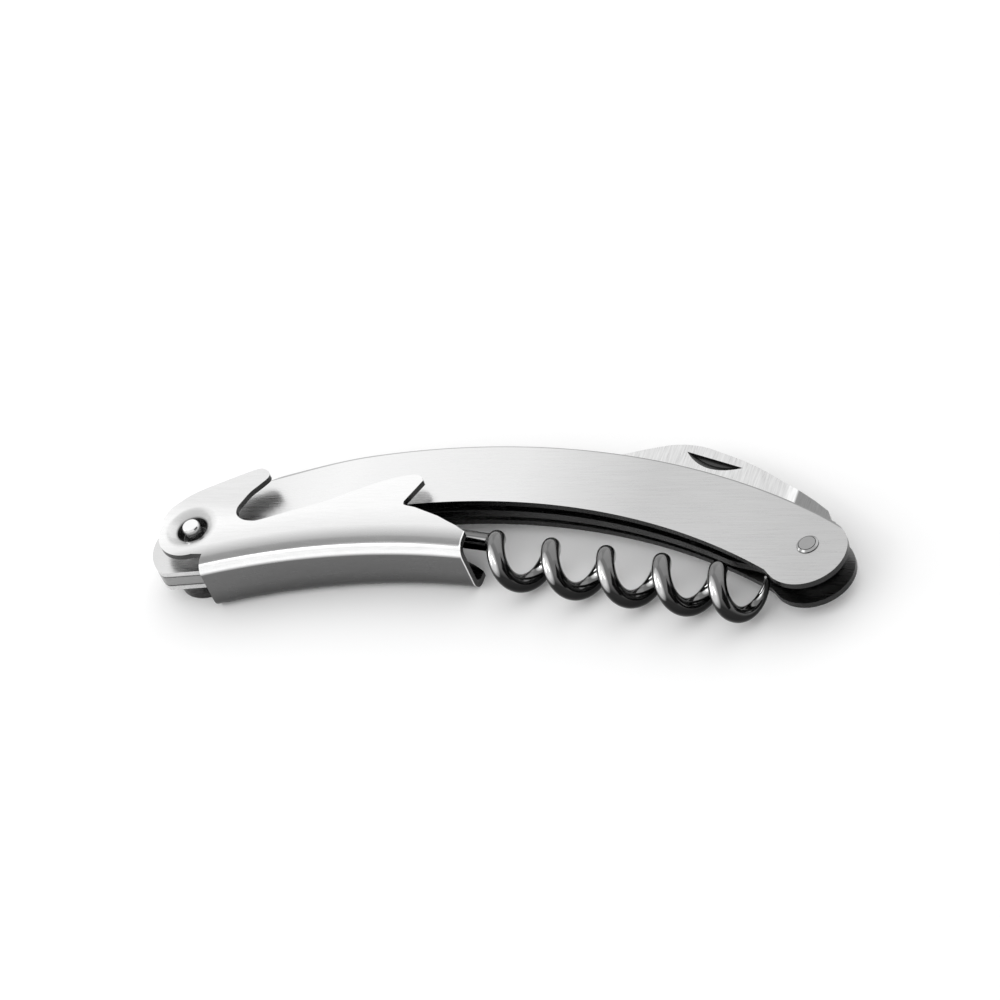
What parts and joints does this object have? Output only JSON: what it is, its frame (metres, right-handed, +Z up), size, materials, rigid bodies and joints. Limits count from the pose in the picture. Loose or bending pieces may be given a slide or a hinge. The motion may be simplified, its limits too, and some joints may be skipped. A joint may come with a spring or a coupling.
{
  "type": "waiter's corkscrew",
  "caption": "Folding all-steel wine opener with a curved plate body, a folded channel lever with a cap hook, a coiled worm and a small foil blade.",
  "frame": {"origin": "bottom centre of the box round the folded part, on the surface it lies on", "axes": "+X from the lever's pivot to the blade's, +Y to the convex side where the blade folds in, +Z up through the thickness"},
  "size_m": [0.1132, 0.0328, 0.0102],
  "materials": {
    "brushed_steel": "stainless sheet, brushed along the body",
    "satin_steel": "pressed stainless sheet, satin",
    "ground_steel": "ground stainless steel",
    "polished_steel": "polished stainless steel"
  },
  "bodies": {
    "handle": {"front_plate": "brushed_steel", "back_plate": "brushed_steel", "nose_spacer": "ground_steel", "back_spring": "polished_steel", "spring_dowel_front": "ground_steel", "spring_dowel_rear": "ground_steel", "lever_rivet": "polished_steel", "worm_pin": "polished_steel", "blade_washer_front": "polished_steel", "blade_washer_back": "polished_steel", "blade_rivet": "polished_steel"},
    "lever": {"lever": "satin_steel"},
    "worm": {"worm": "polished_steel"},
    "blade": {"blade": "ground_steel"}
  },
  "joints": [
    {"name": "lever_hinge", "type": "hinge", "parent": "handle", "child": "lever", "pos_m": [-0.04955, -0.00399, 0.00487], "axis": [0, 0, -1], "range_deg": [0, 160]},
    {"name": "worm_hinge", "type": "hinge", "parent": "handle", "child": "worm", "pos_m": [-0.02105, 0.00046, 0.00487], "axis": [0, 0, -1], "range_deg": [0, 90]},
    {"name": "blade_hinge", "type": "hinge", "parent": "handle", "child": "blade", "pos_m": [0.05035, -0.00494, 0.00487], "axis": [0, 0, -1], "range_deg": [0, 180]}
  ],
  "couplings": [
    {"joint": "worm_hinge", "follows": "lever_hinge", "ratio": 0.5625}
  ]
}
